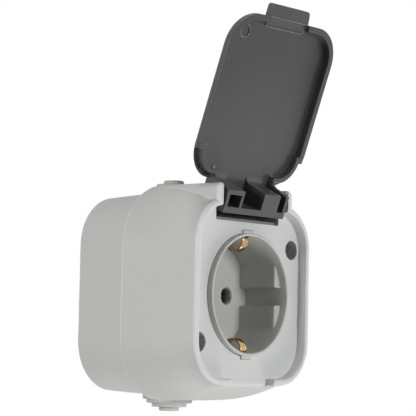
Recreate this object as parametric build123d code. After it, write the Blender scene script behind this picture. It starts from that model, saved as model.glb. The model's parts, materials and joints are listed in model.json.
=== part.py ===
"""Outdoor weatherproof socket: surface-mounted earthed wall socket with a hinged lid.

Millimetres. The wall is the plane y = 0 and the front looks along -Y, so a depth
below is a distance from the wall. The plug well is centred on x = z = 0.
"""
import os
from math import atan, cos, hypot, pi, sin, tan

from build123d import *

# Rear box, from the wall to the parting plane
box_depth = 20.2
box_wall_width = 62.8
box_wall_height = 66.0
box_wall_corner = 17.0
box_front_height = 68.1
box_front_corner = 18.0
box_wall = 2.2
box_back = 2.5
wall_hole_d = 4.5
wall_hole_spacing = 50.0
post_d = 8.0
pilot_length = 13.0

# Front cover, from the parting plane to the rim
cover_depth = 30.6
cover_width = 65.0
cover_height = 72.3
cover_corner = 21.0
dome_power = 2.35
cover_wall = 2.2
parting_step = 0.25
cover_ledge = 2.0
rim_width = 60.6
rim_height = 61.1
rim_corner = 14.5
rim_rise = 0.4
rim_thickness = 2.2
rim_round = 1.2
rim_mouth = 0.4
recess_depth = 3.6
face_thickness = 2.0
tab_notch_width = 22.8
tab_notch_round = 2.2

# Cover screws, in two opposite corners
cover_screw_x = 24.1
cover_screw_z = 16.2
cover_screw_hole_d = 6.5
cover_screw_boss_d = 9.2
cover_screw_seat = 2.0
screw_d = 3.0
screw_head_d = 5.6
screw_head_height = 2.1
screw_head_round = 0.8
screw_drive_length = 3.2
screw_drive_width = 0.7
screw_drive_depth = 1.1
screw_clearance = 0.2
thread_gap = 0.05
cover_screw_length = 12.0

# Hinge hood and its two ears
hood_width = 40.0
hood_above_hinge = 3.4
hood_length = 27.4
hood_round = 2.4
ear_gap = 34.6
hinge_rise = 4.0
hinge_setback = 4.55
chamber_wall = 1.6

# Lid, closed over the rim, then turned open
lid_open_angle = 160.35
lid_plate = 1.2
lid_edge_round = 2.6
lid_rim_gap = 0.3
lid_side_gap = 0.3
lid_top_overlap = 0.5
lid_top_corner = 11.2
lid_swing_gap = 0.35
skirt_height = 2.4
skirt_width = 2.2
skirt_stop = 9.9
skirt_lead = 0.45
skirt_lead_length = 3.0
inset_wall_offset = 2.0
inset_wall_width = 1.7
neck_round = 0.7
tab_width = 20.0
tab_length = 4.3
tab_thickness = 2.2
tab_ridge = 0.6
tab_ramp = 3.6
tab_round = 1.2
ejector_mark_d = 4.6
ejector_mark_depth = 0.2
ejector_mark_side = 8.8
ejector_mark_end = 6.5

# Hinge block, moulded in one with the lid
block_width = 32.3
block_side = 1.4
block_depth = 7.6
block_top = 5.0
block_bottom = 3.9
block_end_wall = 2.1
block_root_round = 2.6
block_draft = 1.1
horn_length = 5.6
pocket_width = 6.1
pocket_depth = 8.0
pocket_wall = 1.2
pocket_lip = 1.5
prism_width = 8.5
prism_gap = 3.1
pivot_d = 3.6
pivot_length = 2.3
pivot_end_gap = 0.4
pivot_clearance = 0.08
chamber_side_gap = 0.5

# Dark liner of the hinge chamber
liner_gap = 0.42
liner_thickness = 0.9
liner_seat_gap = 0.06
liner_end_gap = 0.75
liner_front_gap = 1.0
liner_drop = 4.0

# Plug well
well_d = 39.0
well_depth = 18.2
collar_height = 2.0
collar_wall = 0.9
collar_round = 0.4
collar_mouth = 0.3
well_floor = 2.5
well_body_wall = 1.8
well_hole_gap = 0.12
well_seat_gap = 0.1
pad_flat = 16.25
pad_groove = 6.0
pad_start = 2.8
pad_bevel = 0.5
pad_round = 0.8
pin_spacing = 19.0
pin_hole_d = 5.5
pin_countersink = 0.6
channel_width = 5.4
channel_reach = 21.6
channel_front = 0.6
channel_round = 0.45
channel_slot_gap = 0.05
channel_skin = 0.8
collar_bridge = 0.9

# Contacts behind the well
carrier_length = 17.8
pin_fit_d = 4.9
sleeve_wall = 0.75
sleeve_slit = 0.8
sleeve_slit_length = 9.0
sleeve_gap = 0.3
sleeve_front_gap = 0.9
tail_thickness = 0.8
tail_width = 6.0
tail_margin = 3.0
terminal_width = 7.0
terminal_height = 6.5
terminal_length = 7.0
terminal_offset = 12.5
terminal_gap = 0.2
wire_hole_d = 3.0
wire_hole_edge = 1.0
lug_offset = 18.5
lug_d = 8.0
lug_thickness = 4.0
carrier_screw_length = 12.0

# Earth strap, with a clip at each end
strap_width = 3.0
strap_thickness = 0.7
strap_gap = 0.2
strap_bend = 1.3
clip_front_gap = 3.2
clip_reach = 5.5
clip_base = 5.2
clip_tail = 2.3
clip_round = 3.5
clip_bend = 1.8

# Gasket and cable grommets
gasket_width = 1.0
gasket_height = 1.8
grommet_depth = 14.0
grommet_hole_d = 8.4
grommet_gap = 0.2
grommet_lip = 1.4
grommet_lip_height = 1.2
grommet_lip_gap = 0.2
grommet_flange_d = 18.4
grommet_flange = 1.6
grommet_rings = ((15.7, 1.3), (12.1, 1.3), (7.0, 1.35))
grommet_round = 0.5
grommet_cover_gap = 0.2

# Depths and levels that follow
rim_depth = box_depth + cover_depth
face_depth = rim_depth - recess_depth
face_back = face_depth - face_thickness
collar_depth = face_depth + collar_height
floor_depth = collar_depth - well_depth
floor_back = floor_depth - well_floor
carrier_back = floor_back - carrier_length
recess_width = rim_width - 2 * rim_thickness
recess_height = rim_height - 2 * rim_thickness
recess_corner = rim_corner - rim_thickness
recess_top = rim_rise + recess_height / 2
recess_bottom = rim_rise - recess_height / 2
hinge_z = recess_top + hinge_rise
hinge_depth = rim_depth - hinge_setback
hood_top = hinge_z + hood_above_hinge
lid_inner = rim_depth + lid_rim_gap
lid_outer = lid_inner + lid_plate
lid_root = lid_inner + (lid_plate - neck_round) / 2
skirt_edge = lid_inner - skirt_height
lid_width = recess_width - 2 * lid_side_gap
lid_corner = recess_corner - lid_side_gap
lid_top = recess_top + lid_top_overlap
lid_bottom = recess_bottom + lid_side_gap
lid_swing = hypot(rim_depth - hinge_depth, hinge_z - recess_top) + lid_swing_gap
block_face = skirt_edge - block_depth
block_end_z = hinge_z + block_top
block_near_z = hinge_z - block_bottom
swing = hypot(block_top, hinge_depth - block_face)
end_swing = hypot(block_top, lid_outer - hinge_depth)
chamber_floor = hinge_z - swing - liner_gap - liner_thickness - liner_seat_gap
chamber_back = hinge_depth - max(swing + liner_gap + liner_thickness + liner_seat_gap, end_swing)
chamber_width = block_width + 2 * chamber_side_gap
well_r = well_d / 2
collar_r = well_r + collar_wall
well_body_r = well_r + well_body_wall
pin_x = pin_spacing / 2
strap_outer = channel_reach - channel_skin - strap_gap
strap_inner = strap_outer - strap_thickness
sleeve_r = pin_fit_d / 2 + sleeve_wall
pilot_d = screw_d + 2 * thread_gap
terminal_half = terminal_width / 2 + terminal_gap
terminal_inner = terminal_offset - terminal_height / 2 - terminal_gap
earth_terminal_back = floor_back - strap_thickness - terminal_length


def front_plane(depth):
    """Plane parallel to the wall at a depth, seen from the front."""
    return Plane(origin=(0, -depth, 0), x_dir=(1, 0, 0), z_dir=(0, -1, 0))


def slab(sketch, low, high):
    """A flat sketch in X and Z, as a solid between two depths."""
    return extrude(front_plane(low) * sketch, high - low)


def side_solid(points, half_width):
    """An outline in depth and height, as a solid across X about the middle."""
    face = make_face(Polyline(*[(0, -depth, z) for depth, z in points], close=True))
    return extrude(face, half_width, dir=(1, 0, 0), both=True)


def rod(x, z, diameter, low, high):
    """A round solid along the depth."""
    return slab(Pos(x, z) * Circle(diameter / 2), low, high)


def cross_rod(depth, z, diameter, low, high):
    """A round solid along X."""
    plane = Plane(origin=(low, -depth, z), x_dir=(0, 1, 0), z_dir=(1, 0, 0))
    return extrude(plane * Circle(diameter / 2), high - low)


def block(x_low, x_high, z_low, z_high, low, high):
    """A box between limits in X, Z and depth."""
    middle = Pos((x_low + x_high) / 2, (z_low + z_high) / 2)
    return slab(middle * Rectangle(x_high - x_low, z_high - z_low), low, high)


def rounded(width, height, corner, inset=0.0, rise=0.0):
    """A rounded rectangle, drawn in by an inset."""
    outline = RectangleRounded(width - 2 * inset, height - 2 * inset, corner - inset)
    return Pos(0, rise) * outline


def cover_section(depth, inset=0.0):
    """The cover's outline at a depth: straight sides, domed top and bottom, then an even rim."""
    share = (depth - box_depth) / cover_depth
    dome = min((depth - box_depth) / (face_depth - box_depth), 1) ** dome_power
    width = cover_width + (rim_width - cover_width) * share
    height = cover_height + (rim_height - cover_height) * dome
    corner = cover_corner + (rim_corner - cover_corner) * share
    return front_plane(depth) * rounded(width, height, corner, inset, rim_rise)


def cover_loft(low, high, inset):
    steps = 4
    depths = [low + (high - low) * step / steps for step in range(steps + 1)]
    return loft([cover_section(depth, inset) for depth in depths])


def box_height(depth):
    return box_wall_height + (box_front_height - box_wall_height) * depth / box_depth


def box_section(depth, inset=0.0):
    """The rear box's outline at a depth, with an even draft."""
    share = depth / box_depth
    width = box_wall_width + (cover_width - 2 * parting_step - box_wall_width) * share
    corner = box_wall_corner + (box_front_corner - box_wall_corner) * share
    return front_plane(depth) * rounded(width, box_height(depth), corner, inset)


cover_screw_places = ((cover_screw_x, cover_screw_z), (-cover_screw_x, -cover_screw_z))
carrier_screw_places = ((-lug_offset, lug_offset), (lug_offset, -lug_offset))
cover_screw_head = box_depth + cover_screw_seat
carrier_screw_head = carrier_back + lug_thickness


def make_rear_box():
    shell = loft([box_section(0), box_section(box_depth)])
    shell -= loft([box_section(box_back, box_wall), box_section(box_depth, box_wall)])
    inner = loft([box_section(0), box_section(box_depth)])
    for x, z in cover_screw_places:
        shell += inner & rod(x, z, post_d, 0, box_depth)
        shell -= rod(x, z, pilot_d, box_depth - pilot_length, box_depth)
    for x, z in carrier_screw_places:
        shell += rod(x, z, post_d, box_back / 2, carrier_back)
        shell -= rod(x, z, pilot_d, box_back, carrier_back)
    for z in (-wall_hole_spacing / 2, wall_hole_spacing / 2):
        shell -= rod(0, z, wall_hole_d, 0, box_back)
    seat = box_section(box_depth, box_wall - gasket_width)
    shell -= extrude(seat, -gasket_height)
    entry = Pos(0, -grommet_depth, 0) * Cylinder(grommet_hole_d / 2, 2 * box_wall_height)
    keep_out = block(-grommet_hole_d, grommet_hole_d, -box_wall_height / 3, box_wall_height / 3, 0, box_depth)
    return shell - (entry - keep_out)


def make_cover_gasket():
    ring = box_section(box_depth, box_wall - gasket_width) - box_section(box_depth, box_wall)
    return extrude(ring, -gasket_height)


def notch_edge():
    """What is cut away to round the lower edge of the tab notch's floor into the dome."""
    edge_z = rim_rise - rim_height / 2
    fall = atan(dome_power * (cover_height - rim_height) / 2 / (face_depth - box_depth))
    reach = tab_notch_round * tan((pi / 2 - fall) / 2)
    top = (0, -face_depth, edge_z + reach)
    back = (0, -face_depth + reach * cos(fall), edge_z - reach * sin(fall))
    low_back = (0, back[1], edge_z - tab_notch_round)
    low_front = (0, -rim_depth, edge_z - tab_notch_round)
    front = (0, -rim_depth, edge_z + reach)
    edges = [TangentArc(top, back, tangent=(0, 0, -1)), Line(back, low_back), Line(low_back, low_front),
             Line(low_front, front), Line(front, top)]
    return extrude(make_face(edges), tab_notch_width / 2, dir=(1, 0, 0), both=True)


def make_front_cover():
    skin = cover_loft(box_depth, face_depth, 0)
    skin += loft([cover_section(face_depth), cover_section(rim_depth)])
    hood_low = recess_top - rim_corner
    hood_face = Pos(0, (hood_top + hood_low) / 2) * Rectangle(hood_width, hood_top - hood_low)
    hood_face = fillet(hood_face.vertices().group_by(Axis.Y)[-1], hood_round)
    form = skin + slab(hood_face, rim_depth - hood_length, rim_depth)
    form = fillet(form.faces().sort_by(Axis.Y)[0].edges(), rim_round)
    cavity = cover_loft(box_depth + cover_ledge, face_back, cover_wall)
    cavity += extrude(box_section(box_depth, box_wall), cover_ledge + cover_wall)
    chamber_box = block(
        -chamber_width / 2 - chamber_wall, chamber_width / 2 + chamber_wall,
        chamber_floor - chamber_wall, hood_top - rim_round, chamber_back - chamber_wall, face_depth,
    )
    cover = form - cavity
    cover += form & chamber_box
    for x, z in cover_screw_places:
        cover += form & rod(x, z, cover_screw_boss_d, box_depth, face_depth)
    recess = rounded(recess_width, recess_height, recess_corner, 0, rim_rise)
    cover -= slab(recess, face_depth, rim_depth)
    cover -= extrude(front_plane(rim_depth - rim_mouth) * recess, rim_mouth, taper=-45)
    cover -= block(-ear_gap / 2, ear_gap / 2, rim_rise, 2 * hood_top, face_depth, rim_depth)
    half = chamber_width / 2
    cover -= block(-half, half, chamber_floor, 2 * hood_top, chamber_back, rim_depth)
    half = tab_notch_width / 2
    cover -= block(-half, half, -cover_height, rim_rise, face_depth, rim_depth)
    cover -= notch_edge()
    cover -= rod(0, 0, 2 * (collar_r + well_hole_gap), face_back, face_depth)
    slot = Rectangle(channel_width + 2 * channel_slot_gap, 2 * (channel_reach + channel_slot_gap))
    cover -= slab(slot, face_back, face_depth)
    for x, z in cover_screw_places:
        cover -= rod(x, z, cover_screw_hole_d, cover_screw_head, rim_depth)
        cover -= rod(x, z, screw_d + 2 * screw_clearance, box_depth, cover_screw_head)
    for side in (-1, 1):
        inner = side * chamber_width / 2
        outer = side * (block_width / 2 + pivot_length + pivot_end_gap)
        hole_d = pivot_d + 2 * pivot_clearance
        cover -= cross_rod(hinge_depth, hinge_z, hole_d, min(inner, outer), max(inner, outer))
    return cover


def block_profile(near_z, root):
    """Outline of a hinge block part: a rounded root on the plate, then a drafted wall."""
    start = (0, -lid_root, near_z - root)
    foot = (0, -lid_inner, near_z - root)
    rise = (0, -(lid_inner - root), near_z)
    tip = (0, -block_face, near_z + block_draft)
    back = (0, -block_face, block_end_z - block_end_wall / 2)
    end = (0, -lid_root, block_end_z - block_end_wall / 2)
    edges = [
        Line(start, foot),
        TangentArc(foot, rise, tangent=(0, 0, 1)),
        Line(rise, tip),
        Line(tip, back),
        Line(back, end),
        Line(end, start),
    ]
    return make_face(edges)


def block_part(x_low, x_high, near_z, root):
    face = Pos(x_low, 0, 0) * block_profile(near_z, root)
    return extrude(face, x_high - x_low, dir=(1, 0, 0))


def lid_outline(inset=0.0):
    """The lid's outline, with its own corners at the hinge end."""
    width = lid_width - 2 * inset
    height = lid_top - lid_bottom - 2 * inset
    outline = Pos(0, (lid_top + lid_bottom) / 2) * Rectangle(width, height)
    levels = outline.vertices().group_by(Axis.Y)
    outline = fillet(levels[-1], lid_top_corner - inset)
    return fillet(outline.vertices().sort_by(Axis.Y)[:2], lid_corner - inset)


def make_lid():
    stop_z = lid_top - skirt_stop
    side = lid_width / 2
    half = block_width / 2
    lid = slab(lid_outline(), skirt_edge, lid_outer)
    lid = fillet(lid.faces().sort_by(Axis.Y)[0].edges(), lid_edge_round)
    lid -= slab(lid_outline(skirt_width), skirt_edge, lid_inner)
    lid -= block(-side, side, stop_z, lid_top, skirt_edge, lid_inner)
    lid -= block(-tab_width / 2, tab_width / 2, lid_bottom, lid_bottom + skirt_width, skirt_edge, lid_inner)

    for way in (-1, 1):
        lead = make_face(Polyline(
            (way * side, stop_z - skirt_lead_length),
            (way * (side - skirt_lead), stop_z),
            (way * (side + skirt_lead), stop_z),
            close=True,
        ))
        lid -= slab(lead, skirt_edge, lid_inner)

    inset = lid_outline(inset_wall_offset) - lid_outline(inset_wall_offset + inset_wall_width)
    inset -= Pos(0, stop_z - lid_width) * Rectangle(lid_width, 2 * (lid_width - skirt_width))
    inset -= Pos(0, lid_top) * Rectangle(block_width - 2 * block_side, lid_width)
    wall = slab(inset, skirt_edge, lid_root)
    for low, high in ((-side, -half), (half, side)):
        wall -= cross_rod(hinge_depth, hinge_z, 2 * lid_swing, low, high)
    lid += wall
    neck = block(-half, half, rim_rise, block_end_z, lid_inner, lid_outer)
    lid += fillet(neck.faces().sort_by(Axis.Y)[0].edges(), neck_round)

    lid += block(-half, half, block_end_z - block_end_wall, block_end_z, block_face, lid_root)
    left = -half + block_side
    left_solid = left + pocket_width + pocket_wall
    right = half - block_side
    prism_right = right - prism_gap
    lid += block_part(left - block_side, left_solid, block_near_z, block_root_round)
    lid += block_part(prism_right - prism_width, prism_right, block_near_z, block_root_round)
    for x_low, x_high in ((-half, left), (right, half)):
        lid += block_part(x_low, x_high, block_near_z, horn_length)
    pocket_low = block_near_z + block_draft + pocket_lip
    pocket = block(left, left + pocket_width, pocket_low, block_end_z - block_end_wall, block_face,
                   block_face + pocket_depth)
    lid -= pocket

    ridge_z = lid_bottom
    tip_z = lid_bottom - tab_length
    tab = side_solid(
        [(lid_outer, ridge_z + tab_ramp), (lid_inner, ridge_z + tab_ramp),
         (lid_outer - tab_thickness - tab_ridge, ridge_z), (lid_outer - tab_thickness, tip_z),
         (lid_outer, tip_z)],
        tab_width / 2,
    )
    tab = fillet(tab.edges().filter_by(Axis.Y).group_by(Axis.Z)[0], tab_round)
    lid += tab
    for way in (-1, 1):
        inner = way * (half - block_side)
        outer = way * (half + pivot_length)
        lid += cross_rod(hinge_depth, hinge_z, pivot_d, min(inner, outer), max(inner, outer))
    mark_x = -lid_width / 2 + ejector_mark_side
    mark_z = lid_bottom + ejector_mark_end
    lid -= rod(mark_x, mark_z, ejector_mark_d, lid_inner, lid_inner + ejector_mark_depth)
    return lid.rotate(Axis((0, -hinge_depth, hinge_z), (1, 0, 0)), -lid_open_angle)


def make_hinge_liner():
    half = chamber_width / 2 - liner_end_gap
    inner_r = swing + liner_gap
    tube = cross_rod(hinge_depth, hinge_z, 2 * (inner_r + liner_thickness), -half, half)
    tube -= cross_rod(hinge_depth, hinge_z, 2 * inner_r, -half, half)
    front = face_depth - liner_front_gap
    return tube & block(-half, half, chamber_floor, hinge_z - liner_drop, chamber_back, front)


def make_socket_well():
    body = rod(0, 0, 2 * well_body_r, floor_back, face_back - well_seat_gap)
    collar = rod(0, 0, 2 * collar_r, floor_back, collar_depth)
    body += fillet(collar.faces().sort_by(Axis.Y)[0].edges(), collar_round)
    channel = Rectangle(channel_width, 2 * channel_reach)
    channel = slab(channel, floor_back, face_depth + channel_front)
    body += fillet(channel.faces().sort_by(Axis.Y)[0].edges(), channel_round)
    body -= rod(0, 0, well_d, floor_depth, collar_depth)
    body -= extrude(front_plane(collar_depth - collar_mouth) * Circle(well_r), collar_mouth, taper=-45)
    pads = Circle(well_r) & (Rectangle(well_d, well_d) - Rectangle(2 * pad_flat, well_d))
    pads -= Rectangle(well_d, pad_groove)
    groove_corners = pads.vertices().sort_by(lambda corner: hypot(corner.X, corner.Y))[:4]
    pads = fillet(groove_corners, pad_round)
    pad_front = collar_depth - pad_start
    guide = slab(pads, floor_depth, pad_front)
    for way in (-1, 1):
        face = make_face(Polyline(
            (way * pad_flat, -pad_front, 0),
            (way * pad_flat, -(pad_front - pad_bevel), 0),
            (way * (pad_flat + pad_bevel), -pad_front, 0),
            close=True,
        ))
        guide -= extrude(face, well_r, dir=(0, 0, 1), both=True)
    body += guide
    for x in (-pin_x, pin_x):
        body -= rod(x, 0, pin_hole_d, floor_back, floor_depth)
        narrow = front_plane(floor_depth - pin_countersink) * Pos(x, 0) * Circle(pin_hole_d / 2)
        wide = front_plane(floor_depth) * Pos(x, 0) * Circle(pin_hole_d / 2 + pin_countersink)
        body -= loft([narrow, wide])
    slot = strap_width + 2 * strap_gap
    leg = Rectangle(slot, 2 * (strap_outer + strap_gap)) - Rectangle(slot, 2 * (strap_inner - strap_gap))
    body -= slab(leg, floor_back, face_depth + channel_front - channel_skin)
    relief = Rectangle(slot, 2 * strap_inner) - Rectangle(slot, 2 * (strap_inner - strap_bend))
    body -= slab(relief, floor_back, floor_back + strap_bend)
    window = Rectangle(slot, 2 * strap_inner) - Rectangle(slot, 2 * (well_r - channel_skin))
    body -= slab(window, floor_depth, collar_depth - collar_bridge)
    return body


def make_contact_carrier():
    body = rod(0, 0, 2 * well_body_r, carrier_back, floor_back)
    bar = Rot(0, 0, 135) * SlotCenterToCenter(2 * hypot(lug_offset, lug_offset), lug_d)
    body += slab(bar, carrier_back, carrier_back + lug_thickness)
    for x, z in carrier_screw_places:
        body -= rod(x, z, screw_d + 2 * screw_clearance, carrier_back, carrier_back + lug_thickness)
    for x in (-pin_x, pin_x):
        body -= rod(x, 0, 2 * (sleeve_r + sleeve_gap), carrier_back, floor_back)
        body -= block(x - terminal_half, x + terminal_half, -well_d, -terminal_inner,
                      carrier_back, carrier_back + terminal_length + terminal_gap)
    body -= block(-terminal_half, terminal_half, terminal_inner, well_d, carrier_back, floor_back)
    strap_slot = strap_width + 2 * strap_gap
    body -= slab(Rectangle(strap_slot, 2 * well_d), floor_back - strap_thickness, floor_back)
    return body


def make_contact(x):
    """A slit sleeve that grips a plug pin, with a flat tail to its terminal."""
    front = floor_back - sleeve_front_gap
    contact = rod(x, 0, 2 * sleeve_r, carrier_back, front)
    contact -= rod(x, 0, pin_fit_d, carrier_back, front)
    for width, height in ((2 * sleeve_r, sleeve_slit), (sleeve_slit, 2 * sleeve_r)):
        contact -= slab(Pos(x, 0) * Rectangle(width, height), front - sleeve_slit_length, front)
    tail = block(x - tail_width / 2, x + tail_width / 2, -terminal_offset - tail_margin, sleeve_r,
                 carrier_back - tail_thickness, carrier_back)
    hole_d = screw_d + 2 * screw_clearance
    tail -= rod(x, -terminal_offset, hole_d, carrier_back - tail_thickness, carrier_back)
    return contact + tail


def make_terminal(x, z, back):
    """A brass block with a wire hole along Z and a threaded hole from the back."""
    half_width = terminal_width / 2
    half_height = terminal_height / 2
    front = back + terminal_length
    body = block(x - half_width, x + half_width, z - half_height, z + half_height, back, front)
    wire_depth = front - wire_hole_edge - wire_hole_d / 2
    body -= Pos(x, -wire_depth, z) * Cylinder(wire_hole_d / 2, 2 * terminal_height)
    return body - rod(x, z, pilot_d, back, wire_depth)


def make_screw(x, z, head, length):
    """A pan-head screw whose head stands on the depth given, with a cross slot."""
    top = rod(x, z, screw_head_d, head, head + screw_head_height)
    top = fillet(top.faces().sort_by(Axis.Y)[0].edges(), screw_head_round)
    for width, height in ((screw_drive_length, screw_drive_width), (screw_drive_width, screw_drive_length)):
        cross = Pos(x, z) * Rectangle(width, height)
        top -= slab(cross, head + screw_head_height - screw_drive_depth, head + screw_head_height)
    return top + rod(x, z, screw_d, head - length, head)


def make_terminal_screw(x, z, back, washer):
    """A clamping screw driven from the back, its tip at the wire hole."""
    tip = back + terminal_length - wire_hole_edge - wire_hole_d
    head = back - washer
    screw = make_screw(x, z, 0, tip - head)
    turned = screw.rotate(Axis((x, 0, 0), (0, 0, 1)), 180)
    return Pos(0, -head, 0) * turned


def make_earth_strap():
    front = collar_depth - clip_front_gap
    leg = strap_inner + strap_thickness / 2
    low = leg - clip_reach
    bar = floor_back - strap_thickness / 2
    upper = [
        (front - clip_base - clip_tail, low + clip_tail),
        (front - clip_base, low),
        (front, low),
        (front, leg),
        (bar, leg),
    ]
    lower = [(depth, -z) for depth, z in reversed(upper)]
    points = [(0, -depth, z) for depth, z in upper + lower]
    bends = [clip_round, clip_round, clip_bend, strap_bend]
    path = FilletPolyline(*points, radius=bends + bends[::-1])
    start = Plane(origin=path @ 0, x_dir=(1, 0, 0), z_dir=path % 0)
    return sweep(start * Rectangle(strap_width, strap_thickness), path)


def make_grommet():
    """A stepped rubber cable entry on the top of the rear box."""
    upright = (Align.CENTER, Align.CENTER, Align.MIN)
    neck_r = grommet_hole_d / 2 - grommet_gap
    lip_r = neck_r + grommet_lip
    flange_r = grommet_flange_d / 2
    lip_wall = min(box_height(grommet_depth - lip_r), box_height(grommet_depth + lip_r)) / 2
    lip_top = lip_wall - box_wall - grommet_lip_gap
    flange_low = min(box_height(0), box_height(box_depth)) / 2 - box_wall / 2
    level = max(box_height(0), box_height(box_depth)) / 2 + grommet_flange
    grommet = Pos(0, 0, lip_top - grommet_lip_height) * Cylinder(lip_r, grommet_lip_height, align=upright)
    grommet += Pos(0, 0, lip_top) * Cylinder(neck_r, level - lip_top, align=upright)
    steps = Pos(0, 0, flange_low) * Cylinder(flange_r, level - flange_low, align=upright)
    steps = fillet(steps.edges().sort_by(Axis.Z)[-1], grommet_round)
    for ring_d, ring_height in grommet_rings:
        ring = Pos(0, 0, level) * Cylinder(ring_d / 2, ring_height, align=upright)
        steps += fillet(ring.edges().sort_by(Axis.Z)[-1], grommet_round)
        level += ring_height
    steps = Pos(0, -grommet_depth, 0) * steps
    steps &= block(-flange_r, flange_r, 0, level, 0, box_depth - grommet_cover_gap)
    steps -= loft([box_section(0), box_section(box_depth)])
    return Pos(0, -grommet_depth, 0) * grommet + steps


earth_z = terminal_offset
live_z = -terminal_offset
nodes = {
    "rear_box": make_rear_box(),
    "cover_gasket": make_cover_gasket(),
    "front_cover": make_front_cover(),
    "top_grommet": make_grommet(),
    "bottom_grommet": mirror(make_grommet(), about=Plane.XY),
    "socket_well": make_socket_well(),
    "contact_carrier": make_contact_carrier(),
    "live_contact": make_contact(-pin_x),
    "neutral_contact": make_contact(pin_x),
    "earth_strap": make_earth_strap(),
    "live_terminal": make_terminal(-pin_x, live_z, carrier_back),
    "neutral_terminal": make_terminal(pin_x, live_z, carrier_back),
    "earth_terminal": make_terminal(0, earth_z, earth_terminal_back),
    "live_terminal_screw": make_terminal_screw(-pin_x, live_z, carrier_back, tail_thickness),
    "neutral_terminal_screw": make_terminal_screw(pin_x, live_z, carrier_back, tail_thickness),
    "earth_terminal_screw": make_terminal_screw(0, earth_z, earth_terminal_back, 0),
    "carrier_screws": Compound([make_screw(x, z, carrier_screw_head, carrier_screw_length)
                                for x, z in carrier_screw_places]),
    "upper_cover_screw": make_screw(cover_screw_x, cover_screw_z, cover_screw_head, cover_screw_length),
    "lower_cover_screw": make_screw(-cover_screw_x, -cover_screw_z, cover_screw_head, cover_screw_length),
    "lid": make_lid(),
    "hinge_liner": make_hinge_liner(),
}

os.makedirs("parts", exist_ok=True)
for name, solid in nodes.items():
    export_step(solid, f"parts/{name}.step")
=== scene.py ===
# %% [markdown]
# An outdoor weatherproof socket.
# A wall socket for gardens and damp rooms: a grey moulded box with a round plug
# well, two brass earth clips, stepped rubber cable entries and a dark hinged lid
# that stands open. The frame loaded below is the exact model. Every solid sits
# where it belongs, in metres, with the wall at y = 0 and the front looking along
# -Y. What is left to do here is the look: soft moulded edges, a textured lid, a
# bent clip, a moulding bead, mould lines, finishes, light and a camera.

# %% Load the frame
import json
from math import cos, radians, sin

import bmesh
import bpy
from mathutils import Matrix, Vector
from mathutils.bvhtree import BVHTree


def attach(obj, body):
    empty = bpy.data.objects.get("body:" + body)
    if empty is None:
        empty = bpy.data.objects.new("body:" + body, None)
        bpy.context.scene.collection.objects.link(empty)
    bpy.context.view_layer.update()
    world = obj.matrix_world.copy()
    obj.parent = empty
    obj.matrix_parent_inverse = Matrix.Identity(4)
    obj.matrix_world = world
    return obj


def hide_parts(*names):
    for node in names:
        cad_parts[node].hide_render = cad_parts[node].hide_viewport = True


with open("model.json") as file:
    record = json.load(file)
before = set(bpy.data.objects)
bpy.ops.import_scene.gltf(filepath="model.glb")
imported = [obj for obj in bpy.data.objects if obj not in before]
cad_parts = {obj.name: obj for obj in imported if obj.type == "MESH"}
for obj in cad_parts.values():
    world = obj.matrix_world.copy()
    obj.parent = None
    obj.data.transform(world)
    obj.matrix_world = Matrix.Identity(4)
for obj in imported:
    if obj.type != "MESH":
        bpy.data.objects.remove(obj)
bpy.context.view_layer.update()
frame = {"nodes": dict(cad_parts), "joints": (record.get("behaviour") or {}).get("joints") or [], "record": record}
MM = 0.001
scene = bpy.context.scene
lid_hinge = frame["joints"][0]

# %% [markdown]
# The camera.
# The picture was taken from the left and a little below, with a long lens. A
# camera can be aimed by eye, but the plug well has a known width, so its place
# was solved from that instead. Yaw, pitch and roll give three directions that
# stand square to each other, and those are the columns of the camera's matrix.

# %% Camera
SENSOR_MM, FOCAL_PX, PICTURE_PX = 36, 1900, 416
camera_mm = Vector((-495.05, -443.92, -22.52))
yaw, pitch, roll = radians(-50.073), radians(-4.622), radians(1.194)
back = Vector((sin(yaw) * cos(pitch), -cos(yaw) * cos(pitch), sin(pitch)))
level = Vector((cos(yaw), sin(yaw), 0))
rise = back.cross(level)
right = cos(roll) * level + sin(roll) * rise
axes = Matrix((right, back.cross(right), back)).transposed().to_4x4()
camera = bpy.data.objects.new("camera", bpy.data.cameras.new("camera"))
camera.matrix_world = Matrix.Translation(camera_mm * MM) @ axes
camera.data.sensor_width = SENSOR_MM
camera.data.lens = SENSOR_MM * FOCAL_PX / PICTURE_PX
camera.data.clip_start = 0.01
scene.collection.objects.link(camera)
scene.camera = camera
print("lens", round(camera.data.lens, 1), "mm")

# %% [markdown]
# Colours and nodes.
# Colours are easiest to write as the eye sees them, in hex, but shaders work with
# linear light, so one function turns the first into the second. A second small
# function adds any node to any tree, with its settings and its links, which keeps
# each material below down to a few readable lines. The sockets of a Mix node share
# their names, so they go by number: 0 is the share, 6 and 7 are the two colours,
# and 2 is the colour that comes out.

# %% Helpers for node trees
def colour(hex_value):
    parts = [int(hex_value[i:i + 2], 16) / 255 for i in (1, 3, 5)]
    linear = [c / 12.92 if c <= 0.04045 else ((c + 0.055) / 1.055) ** 2.4 for c in parts]
    return (*linear, 1.0)


def add(tree, kind, settings=None, inputs=None):
    made = tree.nodes.new(kind)
    for name, value in (settings or {}).items():
        setattr(made, name, value)
    for name, value in (inputs or {}).items():
        if isinstance(value, bpy.types.NodeSocket):
            tree.links.new(value, made.inputs[name])
        else:
            made.inputs[name].default_value = value
    return made


def new_material(name):
    material = bpy.data.materials.new(name)
    material.use_nodes = True
    material.node_tree.nodes.clear()
    return material, material.node_tree


WHITE = colour("#FFFFFF")
print("white is", [round(c, 2) for c in WHITE])
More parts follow.
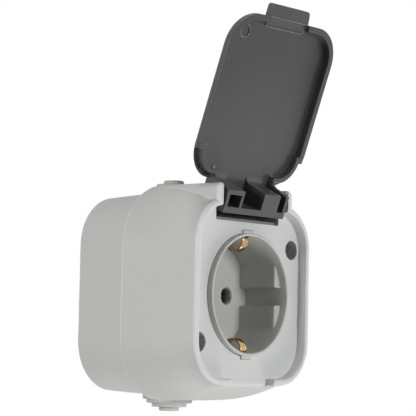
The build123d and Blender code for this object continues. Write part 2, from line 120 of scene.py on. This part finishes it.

# %% [markdown]
# A recipe for moulded plastic.
# Mouldings like these come from a steel mould that is often spark-eroded, which
# leaves a fine pebbled skin: no sparkle, a soft edge to each reflection. Pebbles in
# the mesh would take millions of faces, so a noise texture tilts the light instead.
# They are about 0.1 mm across, too fine for this picture, so they are drawn at 0.35 mm. A slow drift of tone over
# some 15 mm stands for the flow of the melt, which no moulding is quite free of. As an option the recipe paints
# light near one point: the tone there is painted paler, and the roughness is lowered, both fading with the
# distance from it.

# %% Recipe for a moulded plastic
PEBBLE_MM, DRIFT_MM = 0.35, 15
LEAST_ROUGH, MOST_ROUGH = 0.93, 1.07


def moulded_plastic(name, tone, drift_tone, roughness, pebble_mm=PEBBLE_MM,
                    pebble_height_mm=0.012, polish_and_painted_light=None):
    material, tree = new_material(name)
    place = add(tree, "ShaderNodeTexCoord").outputs["Object"]
    pebbles = add(tree, "ShaderNodeTexNoise", None, {
        "Vector": place, "Scale": 1 / (pebble_mm * MM), "Detail": 2.0, "Roughness": 0.55})
    drift = add(tree, "ShaderNodeTexNoise", None, {
        "Vector": place, "Scale": 1 / (DRIFT_MM * MM), "Detail": 1.0})
    shade = add(tree, "ShaderNodeMix", {"data_type": "RGBA"}, {
        0: drift.outputs["Fac"], 6: colour(tone), 7: colour(drift_tone)})
    gloss = add(tree, "ShaderNodeMapRange", None, {
        "Value": pebbles.outputs["Fac"],
        "To Min": LEAST_ROUGH * roughness, "To Max": MOST_ROUGH * roughness}).outputs["Result"]
    # Painted light: near the point the tone is mixed towards a paler one, and the roughness is lowered there too.
    if polish_and_painted_light:
        away = add(tree, "ShaderNodeVectorMath", {"operation": "DISTANCE"}, {
            0: place, 1: polish_and_painted_light["place"]})
        painted_light_and_polish_share = add(tree, "ShaderNodeMapRange", None, {
            "Value": away.outputs["Value"],
            "From Min": polish_and_painted_light["near_mm"] * MM, "From Max": polish_and_painted_light["far_mm"] * MM,
            "To Min": 1.0, "To Max": 0.0}).outputs["Result"]
        shade = add(tree, "ShaderNodeMix", {"data_type": "RGBA"}, {
            0: painted_light_and_polish_share, 6: shade.outputs[2], 7: colour(polish_and_painted_light["tone"])})
        gloss = add(tree, "ShaderNodeMath", {"operation": "MULTIPLY_ADD"}, {
            0: painted_light_and_polish_share, 1: -polish_and_painted_light["polish"], 2: gloss}).outputs[0]
    skin = add(tree, "ShaderNodeBump", None, {
        "Height": pebbles.outputs["Fac"], "Distance": pebble_height_mm * MM, "Strength": 0.6})
    plastic = add(tree, "ShaderNodeBsdfPrincipled", None, {
        "Base Color": shade.outputs[2], "Roughness": gloss,
        "Normal": skin.outputs["Normal"], "IOR": 1.5})
    add(tree, "ShaderNodeOutputMaterial", None, {"Surface": plastic.outputs["BSDF"]})
    return material


print("pebbles", PEBBLE_MM, "mm and drift", DRIFT_MM, "mm wide")

# %% [markdown]
# The plastics of the socket.
# Box, cover and lid are taken to be weatherproof ABS, the well PBT, which stands more heat, and the strip under
# the hinge POM, which slides well. One flat colour each would look like a drawing, so all of them follow the
# recipe. In the picture the lid grows paler and glossier towards its hinge. The paler tone is painted light, put
# into the lid's colour, and the gloss is a lower roughness: both fall off mildly with the distance from the hinge,
# and the lamps do the rest. That may come from a gate, or be light alone, so the finish takes up only a part of
# it: tone and gloss fall off mildly with the distance from the hinge, and the lamps do the rest.

# %% Plastic finishes
# Painted light: the lid's tone is painted paler near its hinge, fading between 12 and 50 mm; the polish lowers the
# roughness there.
hinge_polish_and_painted_light = {"tone": "#464647", "place": lid_hinge["pos_m"],
              "near_mm": 12, "far_mm": 50, "polish": 0.1}
# Spark-eroded: even, with a soft edge to each reflection.
box_plastic = moulded_plastic("spark_eroded_grey_ABS", "#C9C9C8", "#C5C5C3", 0.52)
# Polished, and a little paler than the box as a painted highlight: a thin bright line where light strikes it.
bead_plastic_painted_highlight = moulded_plastic("polished_grey_ABS_painted_highlight", "#D2D2D0", "#CECECC", 0.36, PEBBLE_MM, 0.002)
# Plain moulded: satin, a little darker and warmer than the box.
well_plastic = moulded_plastic("moulded_grey_PBT", "#B8B8B4", "#B2B3AE", 0.45, 0.3, 0.008)
# Smooth and almost black: most of what shows on it is reflection. Near the hinge its tone is painted paler, as
# painted light.
lid_plastic_with_painted_light = moulded_plastic("smooth_anthracite_ABS_painted_light", "#2A2A2B", "#262627", 0.36, 0.3, 0.0015,
                              polish_and_painted_light=hinge_polish_and_painted_light)
# The same plastic spark-eroded: it scatters light, so it looks paler and duller.
lid_skin = moulded_plastic("spark_eroded_anthracite_ABS", "#464648", "#424244", 0.5)
# Pale grey, a painted glint: the thin flash lines are coloured as if they caught the light.
flash_plastic_painted_glint = moulded_plastic("painted_glint_anthracite_ABS", "#8C8C8D", "#848485", 0.3,
                                0.3, 0.002)
# Plain moulded: a waxy sheen.
liner_plastic = moulded_plastic("moulded_dark_POM", "#6E6E70", "#666668", 0.38, 0.3, 0.006)
# Pressed hot from powder: cream, with a dull gloss.
carrier_plastic = moulded_plastic("pressed_urea_thermoset", "#D8D4C8", "#CFCABC", 0.5, 0.4, 0.01)
print("plastics", [finish.name for finish in (
    box_plastic, bead_plastic_painted_highlight, well_plastic, lid_plastic_with_painted_light, lid_skin, flash_plastic_painted_glint,
    liner_plastic, carrier_plastic)])

# %% [markdown]
# Rubber.
# The cable entries are taken to be soft thermoplastic rubber, and the seal in the
# joint black EPDM. Rubber scatters almost all light, so its roughness is high, and a
# bloom of wax leaves faint cloudy patches a few millimetres wide. Two noises give
# both, the patches and a fine grain, with no picture and no seam. The grain is
# finer on real rubber and is drawn at 0.3 mm to show.

# %% Rubber finishes
BLOOM_MM, GRAIN_MM, GRAIN_HEIGHT_MM = 4, 0.3, 0.01


def soft_rubber(name, tone, bloom_tone, roughness):
    material, tree = new_material(name)
    place = add(tree, "ShaderNodeTexCoord").outputs["Object"]
    bloom = add(tree, "ShaderNodeTexNoise", None, {
        "Vector": place, "Scale": 1 / (BLOOM_MM * MM), "Detail": 3.0})
    grain = add(tree, "ShaderNodeTexNoise", None, {
        "Vector": place, "Scale": 1 / (GRAIN_MM * MM), "Detail": 2.0})
    shade = add(tree, "ShaderNodeMix", {"data_type": "RGBA"}, {
        0: bloom.outputs["Fac"], 6: colour(tone), 7: colour(bloom_tone)})
    gloss = add(tree, "ShaderNodeMapRange", None, {
        "Value": bloom.outputs["Fac"], "To Min": roughness - 0.08, "To Max": roughness + 0.08})
    skin = add(tree, "ShaderNodeBump", None, {
        "Height": grain.outputs["Fac"], "Distance": GRAIN_HEIGHT_MM * MM, "Strength": 0.5})
    rubber = add(tree, "ShaderNodeBsdfPrincipled", None, {
        "Base Color": shade.outputs[2], "Roughness": gloss.outputs["Result"],
        "Normal": skin.outputs["Normal"]})
    add(tree, "ShaderNodeOutputMaterial", None, {"Surface": rubber.outputs["BSDF"]})
    return material


# Soft and chalky, a shade darker than the box.
entry_rubber = soft_rubber("grey_thermoplastic_rubber", "#BABBB7", "#B2B3AE", 0.72)
# Black and dull.
seal_rubber = soft_rubber("black_EPDM_rubber", "#2A2A2A", "#323231", 0.75)
print("rubbers", entry_rubber.name, seal_rubber.name)

# %% [markdown]
# Metals.
# The earth clips are bent from rolled spring brass, reddish and a little
# tarnished. Rolling leaves fine lines along the strip, so the noise is stretched:
# fine across the strip, along X, and long the other way. Drawn brass contacts and
# zinc-plated screws share the same recipe with other colours and line widths.

# %% Metal finishes
TARNISH_MM, LINE_HEIGHT_MM = 2.5, 0.01


def rolled_metal(name, tone, tarnish_tone, roughness, line_mm, run_mm):
    material, tree = new_material(name)
    place = add(tree, "ShaderNodeTexCoord").outputs["Object"]
    stretch = add(tree, "ShaderNodeMapping", None, {
        "Vector": place, "Scale": (1 / (line_mm * MM), 1 / (run_mm * MM), 1 / (run_mm * MM))})
    lines = add(tree, "ShaderNodeTexNoise", None, {
        "Vector": stretch.outputs[0], "Scale": 1.0, "Detail": 3.0})
    tarnish = add(tree, "ShaderNodeTexNoise", None, {
        "Vector": place, "Scale": 1 / (TARNISH_MM * MM), "Detail": 2.0})
    shade = add(tree, "ShaderNodeMix", {"data_type": "RGBA"}, {
        0: tarnish.outputs["Fac"], 6: colour(tone), 7: colour(tarnish_tone)})
    gloss = add(tree, "ShaderNodeMapRange", None, {
        "Value": lines.outputs["Fac"], "To Min": roughness - 0.08, "To Max": roughness + 0.1})
    skin = add(tree, "ShaderNodeBump", None, {
        "Height": lines.outputs["Fac"], "Distance": LINE_HEIGHT_MM * MM, "Strength": 0.4})
    metal = add(tree, "ShaderNodeBsdfPrincipled", None, {
        "Base Color": shade.outputs[2], "Metallic": 1.0,
        "Roughness": gloss.outputs["Result"], "Normal": skin.outputs["Normal"]})
    add(tree, "ShaderNodeOutputMaterial", None, {"Surface": metal.outputs["BSDF"]})
    return material


# Rolled bright: sharp warm glints along each bend.
clip_brass = rolled_metal("rolled_spring_brass", "#DDB98C", "#A9855A", 0.16, 0.25, 4.0)
# Drawn and handled: yellow and dull.
contact_brass = rolled_metal("drawn_contact_brass", "#A58D55", "#82703F", 0.42, 0.4, 3.0)
# Plated: pale grey, with an even sheen.
zinc_steel = rolled_metal("zinc_plated_steel", "#B9BBBD", "#A3A6A8", 0.36, 0.6, 0.8)
print("metals", clip_brass.name, contact_brass.name, zinc_steel.name)

# %% [markdown]
# A finish for every solid.
# The record names a material slot for each solid. Finishes could be set one by one,
# but one table turns slots into finishes, so nothing is left plain, inside pieces
# included.

# %% Finish of each solid
finishes = {
    "body_grey": box_plastic, "well_grey": well_plastic, "lid_anthracite": lid_plastic_with_painted_light,
    "liner_dark": liner_plastic, "carrier_plastic": carrier_plastic,
    "grommet_rubber": entry_rubber, "gasket_rubber": seal_rubber,
    "clip_brass": clip_brass, "contact_brass": contact_brass, "screw_steel": zinc_steel,
}
slot_of = {part["node"]: part["material_slot"] for part in frame["record"]["subparts"]}
for name, solid in frame["nodes"].items():
    solid.data.materials.clear()
    solid.data.materials.append(finishes[slot_of[name]])
print("finished", len(slot_of), "solids")

# %% [markdown]
# Soft moulded edges.
# No moulded edge is knife-sharp: plastic shrinks away from the mould and every
# edge shows a hair-thin bright line where it turns. The exact solids have their
# large roundings already, so a copy of each piece that shows gets only that last
# small one. The copy's loose triangles are merged first, and edges that turn
# sharply are bevelled. A Bevel modifier could do that too, but where several edges
# meet, a bevel can throw a point off the surface, and in code such a point can go
# back to its neighbour. Weighted normals keep the flat faces flat.

# %% Helpers for finished meshes
def settle(piece):
    """Turns what the modifiers give into a plain mesh."""
    graph = bpy.context.evaluated_depsgraph_get()
    plain = bpy.data.meshes.new_from_object(
        piece.evaluated_get(graph), preserve_all_data_layers=True, depsgraph=graph)
    piece.modifiers.clear()
    piece.data = plain


def smooth(mesh, sharp_degrees):
    """Shades a mesh round, except at edges that turn by more than an angle."""
    mesh.polygons.foreach_set("use_smooth", [True] * len(mesh.polygons))
    mesh.set_sharp_from_angle(angle=radians(sharp_degrees))


print("a finished mesh needs", [step.__name__ for step in (settle, smooth)])

# %% Soft copies of the moulded pieces
MERGE_MM, CLOSE_MM, SOFT_SHARP_DEGREES = 0.003, 0.001, 28


def softened(name, round_mm, turn_degrees):
    """A copy of a solid, its edges rounded where they turn by more than an angle."""
    mesh = frame["nodes"][name].data.copy()
    shell = bmesh.new()
    shell.from_mesh(mesh)
    bmesh.ops.remove_doubles(shell, verts=shell.verts, dist=MERGE_MM * MM)
    shell.normal_update()
    exact = BVHTree.FromBMesh(shell)
    edges = [edge for edge in shell.edges
             if len(edge.link_faces) == 2 and edge.calc_face_angle(0) > radians(turn_degrees)]
    bmesh.ops.bevel(shell, geom=edges, offset=round_mm * MM, offset_type="OFFSET", segments=2,
                    profile=0.5, affect="EDGES", clamp_overlap=False, miter_outer="ARC")
    for point in shell.verts:
        if exact.find_nearest(point.co)[3] > round_mm * MM:
            shortest = min(point.link_edges, key=lambda edge: edge.calc_length())
            point.co = shortest.other_vert(point).co
    bmesh.ops.remove_doubles(shell, verts=shell.verts, dist=CLOSE_MM * MM)
    bmesh.ops.triangulate(shell, faces=[face for face in shell.faces if len(face.verts) > 4])
    shell.to_mesh(mesh)
    shell.free()
    smooth(mesh, SOFT_SHARP_DEGREES)
    piece = bpy.data.objects.new(f"{name}_soft", mesh)
    scene.collection.objects.link(piece)
    piece.modifiers.new("flat faces", "WEIGHTED_NORMAL").keep_sharp = True
    settle(piece)
    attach(piece, "lid" if name == "lid" else "housing")
    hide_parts(name)
    return piece


# Each solid with its rounding in mm and the least turn of a rounded edge in degrees.
soft_pieces = [
    softened("front_cover", 0.2, 50),
    softened("rear_box", 0.25, 50),
    softened("socket_well", 0.12, 50),
    softened("lid", 0.09, 30),
]
print("soft copies", {piece.name: len(piece.data.polygons) for piece in soft_pieces})

# %% [markdown]
# The lid's two skins.
# The picture shows the lid's left edge paler than its inside, and nothing of its
# outside. Lids like this often have a textured outside, and texture scatters
# light, so that is the guess made here: paler and duller outside, smooth inside.
# Faces could be picked by hand, but a rule holds when the mesh changes. Each face
# is turned back to the shut lid, where the outside looks to the front or, on the
# skirt, away from the middle.

# %% Textured outside of the lid
hinge = Vector(lid_hinge["pos_m"])
shut = Matrix.Rotation(radians(lid_hinge["range_deg"][1]), 3, "X")
skirt_top, skirt_side, skirt_foot = 17 * MM, 21 * MM, -24 * MM
front_limit, back_limit = -0.4, 0.5
lid = soft_pieces[-1]
lid.data.materials.append(lid_skin)
for face in lid.data.polygons:
    spot, way = hinge + shut @ (face.center - hinge), shut @ face.normal
    on_skirt = spot.z < skirt_top and (abs(spot.x) > skirt_side or spot.z < skirt_foot)
    looks_out = way.x * spot.x + way.z * spot.z > 0
    if way.y < front_limit or (on_skirt and way.y < back_limit and looks_out):
        face.material_index = 1
textured = sum(face.material_index for face in lid.data.polygons)
print("textured faces", textured, "of", len(lid.data.polygons))

# %% [markdown]
# Trees that draw along a path.
# Some pieces are a small section drawn along a line: a bent strip, a bead, a hair of
# flash. Geometry Nodes sweep such things best, and a size can change later without
# new code. Each tree gets a named input for each of its sizes, ends in Realize
# Instances and Set Material, and its result is kept as a plain mesh. The line it
# follows is a mesh of bare edges, with the bend radius of each corner kept as an
# attribute, which Fillet Curve reads.

# %% Helpers for geometry node trees
SWEPT_SHARP_DEGREES = 40


def size_tree(name, sizes):
    """A new tree with a named input for each size. Returns it and its inputs."""
    tree = bpy.data.node_groups.new(name, "GeometryNodeTree")
    tree.interface.new_socket("Geometry", in_out="INPUT", socket_type="NodeSocketGeometry")
    for size in sizes:
        tree.interface.new_socket(size, in_out="INPUT", socket_type="NodeSocketFloat")
    tree.interface.new_socket("Geometry", in_out="OUTPUT", socket_type="NodeSocketGeometry")
    return tree, add(tree, "NodeGroupInput").outputs


def end_tree(tree, geometry, material):
    """Closes a tree with its material."""
    whole = add(tree, "GeometryNodeRealizeInstances", None, {"Geometry": geometry})
    dressed = add(tree, "GeometryNodeSetMaterial", None, {
        "Geometry": whole.outputs[0], "Material": material})
    add(tree, "NodeGroupOutput", None, {"Geometry": dressed.outputs[0]})


def grown(name, start_mesh, tree, sizes_mm, body, slot):
    """Runs a tree with its sizes and keeps the plain mesh, riding on its body."""
    piece = bpy.data.objects.new(name, start_mesh)
    scene.collection.objects.link(piece)
    nodes = piece.modifiers.new(name, "NODES")
    nodes.node_group = tree
    for socket in tree.interface.items_tree:
        if socket.name in sizes_mm:
            nodes[socket.identifier] = sizes_mm[socket.name] * MM
    settle(piece)
    smooth(piece.data, SWEPT_SHARP_DEGREES)
    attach(piece, body)
    return piece


def bent_path(name, corners, edges):
    """A mesh of edges for a tree to follow, with the bend radius of each corner."""
    mesh = bpy.data.meshes.new(name)
    mesh.from_pydata([place for place, radius in corners], edges, [])
    bends = mesh.attributes.new("bend", "FLOAT", "POINT")
    bends.data.foreach_set("value", [radius * MM for place, radius in corners])
    return mesh


print("a tree needs", [step.__name__ for step in (size_tree, end_tree, grown, bent_path)])

# %% [markdown]
# The earth strap.
# The two clips in the well are the ends of one brass strip, bent round the back
# of the well. It could be modelled face by face, but a strip is a path and a
# section. The path is ten corner points, five above and the same five mirrored
# below. Curve to Mesh draws a small rectangle along it, its edges broken as on
# stamped strip.

# %% Earth strap
BEND_STEPS, EDGE_STEPS = 9, 3
strap_tree, inlet = size_tree("bent strip", ["Width", "Thickness", "Edge"])
bend = add(strap_tree, "GeometryNodeInputNamedAttribute", {"data_type": "FLOAT"}, {"Name": "bend"})
path = add(strap_tree, "GeometryNodeMeshToCurve", None, {"Mesh": inlet["Geometry"]})
path = add(strap_tree, "GeometryNodeFilletCurve", {"mode": "POLY"}, {
    "Curve": path.outputs[0], "Radius": bend.outputs["Attribute"], "Count": BEND_STEPS})
path = add(strap_tree, "GeometryNodeSetCurveNormal", {"mode": "FREE"}, {
    "Curve": path.outputs[0], "Normal": (1, 0, 0)})
section = add(strap_tree, "GeometryNodeCurvePrimitiveQuadrilateral", None, {
    "Width": inlet["Width"], "Height": inlet["Thickness"]})
section = add(strap_tree, "GeometryNodeFilletCurve", {"mode": "POLY"}, {
    "Curve": section.outputs[0], "Radius": inlet["Edge"], "Count": EDGE_STEPS})
strip = add(strap_tree, "GeometryNodeCurveToMesh", None, {
    "Curve": path.outputs[0], "Profile Curve": section.outputs[0], "Fill Caps": True})
end_tree(strap_tree, strip.outputs[0], clip_brass)

# Depth from the wall, height and bend radius of each upper corner, in mm.
upper = [(38.5, 17.05, 0), (40.8, 14.75, 3.5), (46.0, 14.75, 3.5),
         (46.0, 20.25, 1.8), (28.15, 20.25, 1.3)]
both_ends = upper + [(depth, -z, radius) for depth, z, radius in reversed(upper)]
strap_path = bent_path(
    "strap path", [((0, -depth * MM, z * MM), radius) for depth, z, radius in both_ends],
    [(i, i + 1) for i in range(len(both_ends) - 1)])
strap = grown("earth_strap_bent", strap_path, strap_tree,
              {"Width": 3.0, "Thickness": 0.7, "Edge": 0.15}, "housing", "clip_brass")
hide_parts("earth_strap")
print("strap", len(strap.data.polygons), "faces,",
      [round(side / MM, 2) for side in strap.dimensions], "mm")

# %% [markdown]
# The parting bead.
# One fine bright line runs round the box where the cover meets it. It is read here as a thin round bead on the
# cover's edge, of the kind that hides a mismatch of two mouldings. It could be cut from the cover's own mesh, but
# it follows the cover's outline, so the tree draws that outline, a rounded rectangle, and sweeps a small circle
# along it. The bead is coloured a little paler than the box, a painted highlight for that bright line.

# %% Parting bead
JOINT_DEPTH_MM, JOINT_MIDDLE_MM = 20.4, 0.4
CORNER_STEPS, BEAD_SIDES = 24, 10
bead_tree, inlet = size_tree("moulding bead", ["Width", "Height", "Corner", "Bead"])
outline = add(bead_tree, "GeometryNodeCurvePrimitiveQuadrilateral", None, {
    "Width": inlet["Width"], "Height": inlet["Height"]})
outline = add(bead_tree, "GeometryNodeFilletCurve", {"mode": "POLY"}, {
    "Curve": outline.outputs[0], "Radius": inlet["Corner"], "Count": CORNER_STEPS})
outline = add(bead_tree, "GeometryNodeTransform", None, {
    "Geometry": outline.outputs[0], "Rotation": (radians(90), 0, 0),
    "Translation": (0, -JOINT_DEPTH_MM * MM, JOINT_MIDDLE_MM * MM)})
circle = add(bead_tree, "GeometryNodeCurvePrimitiveCircle", None, {
    "Resolution": BEAD_SIDES, "Radius": inlet["Bead"]})
swept = add(bead_tree, "GeometryNodeCurveToMesh", None, {
    "Curve": outline.outputs[0], "Profile Curve": circle.outputs[0]})
end_tree(bead_tree, swept.outputs[0], bead_plastic_painted_highlight)
bead = grown("parting_bead", bpy.data.meshes.new("bead start"), bead_tree,
             {"Width": 65.0, "Height": 72.3, "Corner": 21.0, "Bead": 0.16},
             "housing", "body_grey")
print("bead", len(bead.data.polygons), "faces,",
      [round(side / MM, 2) for side in bead.dimensions], "mm")

# %% [markdown]
# Mould lines.
# Thin pale lines show on the lid, one round a shallow mark in a corner and one round the root of the tab. Such a
# mark comes from the pin that pushes a moulding out, and a line like the second from the edge of a loose block in
# the mould: plastic creeps into the gap and leaves a hair of flash. The shapes are in the solid. A painted line
# would blur, so the flash is a small circle swept along both outlines, which are drawn on the shut lid and turned
# open with it. The flash is coloured pale grey, a painted glint for the light its edges catch.

# %% A tree for flash
FLASH_BEND_STEPS, FLASH_SIDES = 6, 8
line_tree, inlet = size_tree("mould line", ["Flash"])
bend = add(line_tree, "GeometryNodeInputNamedAttribute", {"data_type": "FLOAT"}, {"Name": "bend"})
path = add(line_tree, "GeometryNodeMeshToCurve", None, {"Mesh": inlet["Geometry"]})
path = add(line_tree, "GeometryNodeFilletCurve", {"mode": "POLY"}, {
    "Curve": path.outputs[0], "Radius": bend.outputs["Attribute"], "Count": FLASH_BEND_STEPS})
circle = add(line_tree, "GeometryNodeCurvePrimitiveCircle", None, {
    "Resolution": FLASH_SIDES, "Radius": inlet["Flash"]})
swept = add(line_tree, "GeometryNodeCurveToMesh", None, {
    "Curve": path.outputs[0], "Profile Curve": circle.outputs[0]})
end_tree(line_tree, swept.outputs[0], flash_plastic_painted_glint)
print("flash tree", len(line_tree.nodes), "nodes")

# %% Mould lines
# On the shut lid, in mm: two depths from the wall, the pin's mark and the tab's root.
plate, ridge = 51.1, 49.5
pin_x, pin_z, pin_radius = -19.0, -21.15, 2.3
tab_half, tab_low, tab_high, tab_bend = 10.0, -27.65, -24.05, 1.2
turns = [radians(turn) for turn in range(0, 360, 10)]
ring = [((pin_x + pin_radius * cos(turn), plate, pin_z + pin_radius * sin(turn)), 0)
        for turn in turns]
tab = [((-tab_half, ridge, tab_low), 0), ((tab_half, ridge, tab_low), 0),
       ((tab_half, plate, tab_high), tab_bend), ((-tab_half, plate, tab_high), tab_bend)]
corners = [(hinge + shut.inverted() @ (Vector((x, -depth, z)) * MM - hinge), radius)
           for (x, depth, z), radius in ring + tab]
ring_edges = [(i, (i + 1) % len(ring)) for i in range(len(ring))]
tab_edges = [(len(ring) + i, len(ring) + (i + 1) % len(tab)) for i in range(len(tab))]
lines = grown("mould_lines", bent_path("line path", corners, ring_edges + tab_edges), line_tree,
              {"Flash": 0.09}, "lid", "lid_anthracite")
print("mould lines", len(lines.data.polygons), "faces")

# %% [markdown]
# Plain light.
# The front and the left side of the socket are bright while the walls inside the
# well stay dark. Soft boxes that each keep to their own side give that. The two
# strongest stand square to the front and to the left, and weaker ones above, to the
# right, below and behind open up the shadows. One render with each box alone showed
# what it adds, and their strengths were then fitted to the tones of the picture. The
# one behind is for other views only.

# %% Soft boxes
AIM = Vector((0, -0.04, 0))


def soft_box(name, place, size, power, tint):
    """A round lamp of a size in metres and a power in watts, turned to the socket."""
    light = bpy.data.lights.new(name, "AREA")
    light.shape = "DISK"
    light.size = size
    light.energy = power
    light.color = colour(tint)[:3]
    lamp = bpy.data.objects.new(name, light)
    turn = (AIM - Vector(place)).to_track_quat("-Z", "Y")
    lamp.matrix_world = Matrix.Translation(Vector(place)) @ turn.to_matrix().to_4x4()
    scene.collection.objects.link(lamp)


soft_box("front box", (0.05, -1.3, 0.12), 0.5, 10.8, "#FBFDFF")
soft_box("side box", (-1.3, -0.02, 0.1), 0.5, 10.5, "#FFFFFF")
soft_box("top box", (0, -0.2, 1.3), 0.8, 3.7, "#FFFFFF")
soft_box("right box", (1.3, -0.3, 0.1), 0.6, 3.0, "#FFFFFF")
soft_box("low box", (0.5, -0.4, -0.95), 0.5, 5.8, "#FFFEFB")
soft_box("back box", (0.6, 1.3, 0), 0.6, 6.0, "#FFFFFF")

# %% [markdown]
# The world.
# The background is plain white, but as much light from all round would wash the
# shape out. A large white wall could stand behind the socket, but it would light it
# too. The Light Path node tells rays that show a thing, straight or in a reflection,
# from rays that light it. So the world is white to the eye and nearly dark as a lamp.

# %% World
AMBIENT = 0.03


def shown(tree, share):
    """The share of white for a ray that shows a thing, and none for one that lights it."""
    ray = add(tree, "ShaderNodeLightPath").outputs
    either = add(tree, "ShaderNodeMath", {"operation": "MAXIMUM"}, {
        0: ray["Is Camera Ray"], 1: ray["Is Transmission Ray"]})
    either = add(tree, "ShaderNodeMath", {"operation": "MAXIMUM"}, {
        0: either.outputs[0], 1: ray["Is Glossy Ray"]})
    part = add(tree, "ShaderNodeMath", {"operation": "MULTIPLY"}, {0: either.outputs[0], 1: share})
    return part.outputs[0]


scene.view_settings.view_transform = "Standard"
world = bpy.data.worlds.new("studio")
scene.world = world
world.use_nodes = True
tree = world.node_tree
tree.nodes.clear()
ambient = add(tree, "ShaderNodeBackground", None, {"Color": WHITE, "Strength": AMBIENT})
backdrop = add(tree, "ShaderNodeBackground", None, {"Color": WHITE, "Strength": 1.0})
both = add(tree, "ShaderNodeMixShader", None, {
    0: shown(tree, 1.0), 1: ambient.outputs[0], 2: backdrop.outputs[0]})
add(tree, "ShaderNodeOutputWorld", None, {"Surface": both.outputs[0]})
print("world", AMBIENT, "as a lamp and 1.0 to the eye")

# %% [markdown]
# The floor.
# The socket hangs on a wall, so the floor is a large sheet of pale paper far below
# it. A sheet that only reflects would look grey under such little light, so it
# follows the same rule as the world: almost white to the eye, with a part of its
# own shade kept so that a shadow still shows on it.

# %% Floor
FLOOR_HALF_M, FLOOR_HEIGHT_M, FLOOR_SHARE, FIBRE_MM = 8, -1.1, 0.9, 3
floor_mesh = bpy.data.meshes.new("floor")
floor_mesh.from_pydata(
    [(x * FLOOR_HALF_M, y * FLOOR_HALF_M, FLOOR_HEIGHT_M)
     for x, y in ((-1, -1), (1, -1), (1, 1), (-1, 1))], [], [(0, 1, 2, 3)])
floor = bpy.data.objects.new("floor", floor_mesh)
scene.collection.objects.link(floor)
paper, tree = new_material("pale_paper")
place = add(tree, "ShaderNodeTexCoord").outputs["Object"]
fibres = add(tree, "ShaderNodeTexNoise", None, {
    "Vector": place, "Scale": 1 / (FIBRE_MM * MM), "Detail": 2.0})
shade = add(tree, "ShaderNodeMix", {"data_type": "RGBA"}, {
    0: fibres.outputs["Fac"], 6: colour("#F6F6F5"), 7: colour("#F3F3F2")})
matt = add(tree, "ShaderNodeBsdfPrincipled", None, {
    "Base Color": shade.outputs[2], "Roughness": 0.9})
bright = add(tree, "ShaderNodeEmission", None, {"Color": WHITE, "Strength": 1.0})
both = add(tree, "ShaderNodeMixShader", None, {
    0: shown(tree, FLOOR_SHARE), 1: matt.outputs["BSDF"], 2: bright.outputs[0]})
add(tree, "ShaderNodeOutputMaterial", None, {"Surface": both.outputs[0]})
floor_mesh.materials.append(paper)
print("floor", [round(side, 1) for side in floor.dimensions[:2]], "m")
